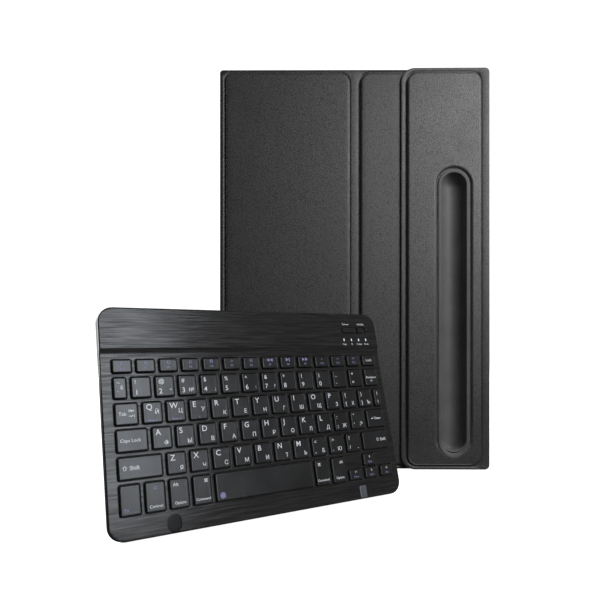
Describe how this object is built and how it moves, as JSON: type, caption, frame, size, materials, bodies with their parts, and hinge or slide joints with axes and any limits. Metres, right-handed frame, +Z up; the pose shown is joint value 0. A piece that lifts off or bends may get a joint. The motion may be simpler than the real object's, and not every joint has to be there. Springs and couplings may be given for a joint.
{
  "type": "tablet keyboard case",
  "caption": "Folding leather case for a tablet, with a pen trough in the cover, a soft tray inside, a stand fold and a detachable keyboard.",
  "frame": {"origin": "on the floor under the front cover, in the middle of its width and thickness, as the case stands on a short edge", "axes": "+Z up the front cover's long side; -Y out of the front cover's face; +X towards the spine"},
  "size_m": [0.2448, 0.3693, 0.295],
  "materials": {
    "leather": "fine charcoal grain, satin",
    "lining": "short microfibre nap",
    "board": "plain stiff board",
    "trough": "satin moulded",
    "steel": "bright",
    "tray": "matt soft shell",
    "bezel": "gloss",
    "brushed_black": "black, brushed lengthwise",
    "shell": "fine matt texture",
    "rubber": "matt",
    "window": "clear",
    "membrane": "matt",
    "cell": "foil",
    "board_green": "lacquered",
    "switch": "satin",
    "key": "fine matt texture"
  },
  "bodies": {
    "front_cover": {"cover_skin_right": "leather", "cover_board_right": "board", "cover_lining_right": "lining", "closure_magnets": "steel", "pen_flap_skin": "leather", "pen_flap_board": "board", "pen_trough": "trough"},
    "left_panel": {"cover_skin_left": "leather", "cover_board_left": "board", "cover_lining_left": "lining", "keyboard_magnets": "steel"},
    "spine": {"spine_skin": "leather", "spine_board": "board"},
    "rear_lower": {"rear_lower_skin": "leather", "rear_lower_board": "board"},
    "rear_upper": {"rear_upper_skin": "leather", "rear_upper_board": "board", "camera_bezel": "bezel", "tablet_tray": "tray"},
    "power_button_cover": {"tray_power_button": "tray"},
    "volume_button_cover": {"tray_volume_button": "tray"},
    "keyboard": {"keyboard_top_case": "brushed_black", "keyboard_bottom_case": "shell", "finger_pads": "rubber", "indicator_windows": "window", "case_screws": "steel", "charging_port": "steel", "rubber_feet": "rubber", "key_membrane": "membrane", "key_base_plate": "steel", "battery": "cell", "circuit_board": "board_green"},
    "power_switch": {"power_switch": "switch"},
    "connect_button": {"connect_button": "switch"},
    "key_escape": {"key_escape": "key"},
    "key_function_row": {"key_function_row": "key"},
    "key_lock": {"key_lock": "key"},
    "key_grave": {"key_grave": "key"},
    "key_number_row": {"key_number_row": "key"},
    "key_backspace": {"key_backspace": "key"},
    "key_tab": {"key_tab": "key"},
    "key_top_letter_row": {"key_top_letter_row": "key"},
    "key_backslash": {"key_backslash": "key"},
    "key_caps_lock": {"key_caps_lock": "key"},
    "key_home_row": {"key_home_row": "key"},
    "key_enter": {"key_enter": "key"},
    "key_left_shift": {"key_left_shift": "key"},
    "key_low_letter_row": {"key_low_letter_row": "key"},
    "key_right_shift": {"key_right_shift": "key"},
    "key_fn": {"key_fn": "key"},
    "key_control": {"key_control": "key"},
    "key_left_option": {"key_left_option": "key"},
    "key_left_command": {"key_left_command": "key"},
    "key_space": {"key_space": "key"},
    "key_right_command": {"key_right_command": "key"},
    "key_right_option": {"key_right_option": "key"},
    "key_left_arrow": {"key_left_arrow": "key"},
    "key_down_arrow": {"key_down_arrow": "key"},
    "key_up_arrow": {"key_up_arrow": "key"},
    "key_right_arrow": {"key_right_arrow": "key"}
  },
  "joints": [
    {"name": "left_panel_fold", "type": "hinge", "parent": "front_cover", "child": "left_panel", "pos_m": [-0.00195, 0.0015, 0.1475], "axis": [0, 0, -1], "range_deg": [0, 140]},
    {"name": "spine_fold", "type": "hinge", "parent": "front_cover", "child": "spine", "pos_m": [0.0965, 0.0015, 0.1475], "axis": [0, 0, -1], "range_deg": [0, 90]},
    {"name": "rear_cover_fold", "type": "hinge", "parent": "spine", "child": "rear_lower", "pos_m": [0.0965, 0.0165, 0.1475], "axis": [0, 0, -1], "range_deg": [-90, 15]},
    {"name": "stand_fold", "type": "hinge", "parent": "rear_lower", "child": "rear_upper", "pos_m": [0.0994, 0.117, 0.1475], "axis": [0, 0, -1], "range_deg": [0, 60]},
    {"name": "power_cover_press", "type": "slide", "parent": "rear_upper", "child": "power_button_cover", "axis": [0, -1, 0], "range_m": [0, 0.0005], "stiffness_N_per_m": 2000},
    {"name": "volume_cover_press", "type": "slide", "parent": "rear_upper", "child": "volume_button_cover", "axis": [0, -1, 0], "range_m": [0, 0.0005], "stiffness_N_per_m": 2000},
    {"name": "keyboard_lift_off", "type": "slide", "parent": "front_cover", "child": "keyboard", "axis": [0, 0, 1], "range_m": [0, 0.3]},
    {"name": "power_switch_slide", "type": "slide", "parent": "keyboard", "child": "power_switch", "axis": [0.8575, 0.5144, 0], "range_m": [0, 0.002]},
    {"name": "connect_button_press", "type": "slide", "parent": "keyboard", "child": "connect_button", "axis": [-0.4969, 0.8283, -0.2587], "range_m": [0, 0.0003], "stiffness_N_per_m": 3000},
    {"name": "press_escape", "type": "slide", "parent": "keyboard", "child": "key_escape", "axis": [-0.4969, 0.8283, -0.2587], "range_m": [0, 0.0012], "stiffness_N_per_m": 500},
    {"name": "press_function_row", "type": "slide", "parent": "keyboard", "child": "key_function_row", "axis": [-0.4969, 0.8283, -0.2587], "range_m": [0, 0.0012], "stiffness_N_per_m": 6000},
    {"name": "press_lock", "type": "slide", "parent": "keyboard", "child": "key_lock", "axis": [-0.4969, 0.8283, -0.2587], "range_m": [0, 0.0012], "stiffness_N_per_m": 500},
    {"name": "press_grave", "type": "slide", "parent": "keyboard", "child": "key_grave", "axis": [-0.4969, 0.8283, -0.2587], "range_m": [0, 0.0012], "stiffness_N_per_m": 500},
    {"name": "press_number_row", "type": "slide", "parent": "keyboard", "child": "key_number_row", "axis": [-0.4969, 0.8283, -0.2587], "range_m": [0, 0.0012], "stiffness_N_per_m": 6000},
    {"name": "press_backspace", "type": "slide", "parent": "keyboard", "child": "key_backspace", "axis": [-0.4969, 0.8283, -0.2587], "range_m": [0, 0.0012], "stiffness_N_per_m": 500},
    {"name": "press_tab", "type": "slide", "parent": "keyboard", "child": "key_tab", "axis": [-0.4969, 0.8283, -0.2587], "range_m": [0, 0.0012], "stiffness_N_per_m": 500},
    {"name": "press_top_letter_row", "type": "slide", "parent": "keyboard", "child": "key_top_letter_row", "axis": [-0.4969, 0.8283, -0.2587], "range_m": [0, 0.0012], "stiffness_N_per_m": 6000},
    {"name": "press_backslash", "type": "slide", "parent": "keyboard", "child": "key_backslash", "axis": [-0.4969, 0.8283, -0.2587], "range_m": [0, 0.0012], "stiffness_N_per_m": 500},
    {"name": "press_caps_lock", "type": "slide", "parent": "keyboard", "child": "key_caps_lock", "axis": [-0.4969, 0.8283, -0.2587], "range_m": [0, 0.0012], "stiffness_N_per_m": 500},
    {"name": "press_home_row", "type": "slide", "parent": "keyboard", "child": "key_home_row", "axis": [-0.4969, 0.8283, -0.2587], "range_m": [0, 0.0012], "stiffness_N_per_m": 5500},
    {"name": "press_enter", "type": "slide", "parent": "keyboard", "child": "key_enter", "axis": [-0.4969, 0.8283, -0.2587], "range_m": [0, 0.0012], "stiffness_N_per_m": 500},
    {"name": "press_left_shift", "type": "slide", "parent": "keyboard", "child": "key_left_shift", "axis": [-0.4969, 0.8283, -0.2587], "range_m": [0, 0.0012], "stiffness_N_per_m": 500},
    {"name": "press_low_letter_row", "type": "slide", "parent": "keyboard", "child": "key_low_letter_row", "axis": [-0.4969, 0.8283, -0.2587], "range_m": [0, 0.0012], "stiffness_N_per_m": 5000},
    {"name": "press_right_shift", "type": "slide", "parent": "keyboard", "child": "key_right_shift", "axis": [-0.4969, 0.8283, -0.2587], "range_m": [0, 0.0012], "stiffness_N_per_m": 500},
    {"name": "press_fn", "type": "slide", "parent": "keyboard", "child": "key_fn", "axis": [-0.4969, 0.8283, -0.2587], "range_m": [0, 0.0012], "stiffness_N_per_m": 500},
    {"name": "press_control", "type": "slide", "parent": "keyboard", "child": "key_control", "axis": [-0.4969, 0.8283, -0.2587], "range_m": [0, 0.0012], "stiffness_N_per_m": 500},
    {"name": "press_left_option", "type": "slide", "parent": "keyboard", "child": "key_left_option", "axis": [-0.4969, 0.8283, -0.2587], "range_m": [0, 0.0012], "stiffness_N_per_m": 500},
    {"name": "press_left_command", "type": "slide", "parent": "keyboard", "child": "key_left_command", "axis": [-0.4969, 0.8283, -0.2587], "range_m": [0, 0.0012], "stiffness_N_per_m": 500},
    {"name": "press_space", "type": "slide", "parent": "keyboard", "child": "key_space", "axis": [-0.4969, 0.8283, -0.2587], "range_m": [0, 0.0012], "stiffness_N_per_m": 500},
    {"name": "press_right_command", "type": "slide", "parent": "keyboard", "child": "key_right_command", "axis": [-0.4969, 0.8283, -0.2587], "range_m": [0, 0.0012], "stiffness_N_per_m": 500},
    {"name": "press_right_option", "type": "slide", "parent": "keyboard", "child": "key_right_option", "axis": [-0.4969, 0.8283, -0.2587], "range_m": [0, 0.0012], "stiffness_N_per_m": 500},
    {"name": "press_left_arrow", "type": "slide", "parent": "keyboard", "child": "key_left_arrow", "axis": [-0.4969, 0.8283, -0.2587], "range_m": [0, 0.0012], "stiffness_N_per_m": 500},
    {"name": "press_down_arrow", "type": "slide", "parent": "keyboard", "child": "key_down_arrow", "axis": [-0.4969, 0.8283, -0.2587], "range_m": [0, 0.0012], "stiffness_N_per_m": 500},
    {"name": "press_up_arrow", "type": "slide", "parent": "keyboard", "child": "key_up_arrow", "axis": [-0.4969, 0.8283, -0.2587], "range_m": [0, 0.0012], "stiffness_N_per_m": 500},
    {"name": "press_right_arrow", "type": "slide", "parent": "keyboard", "child": "key_right_arrow", "axis": [-0.4969, 0.8283, -0.2587], "range_m": [0, 0.0012], "stiffness_N_per_m": 500}
  ]
}
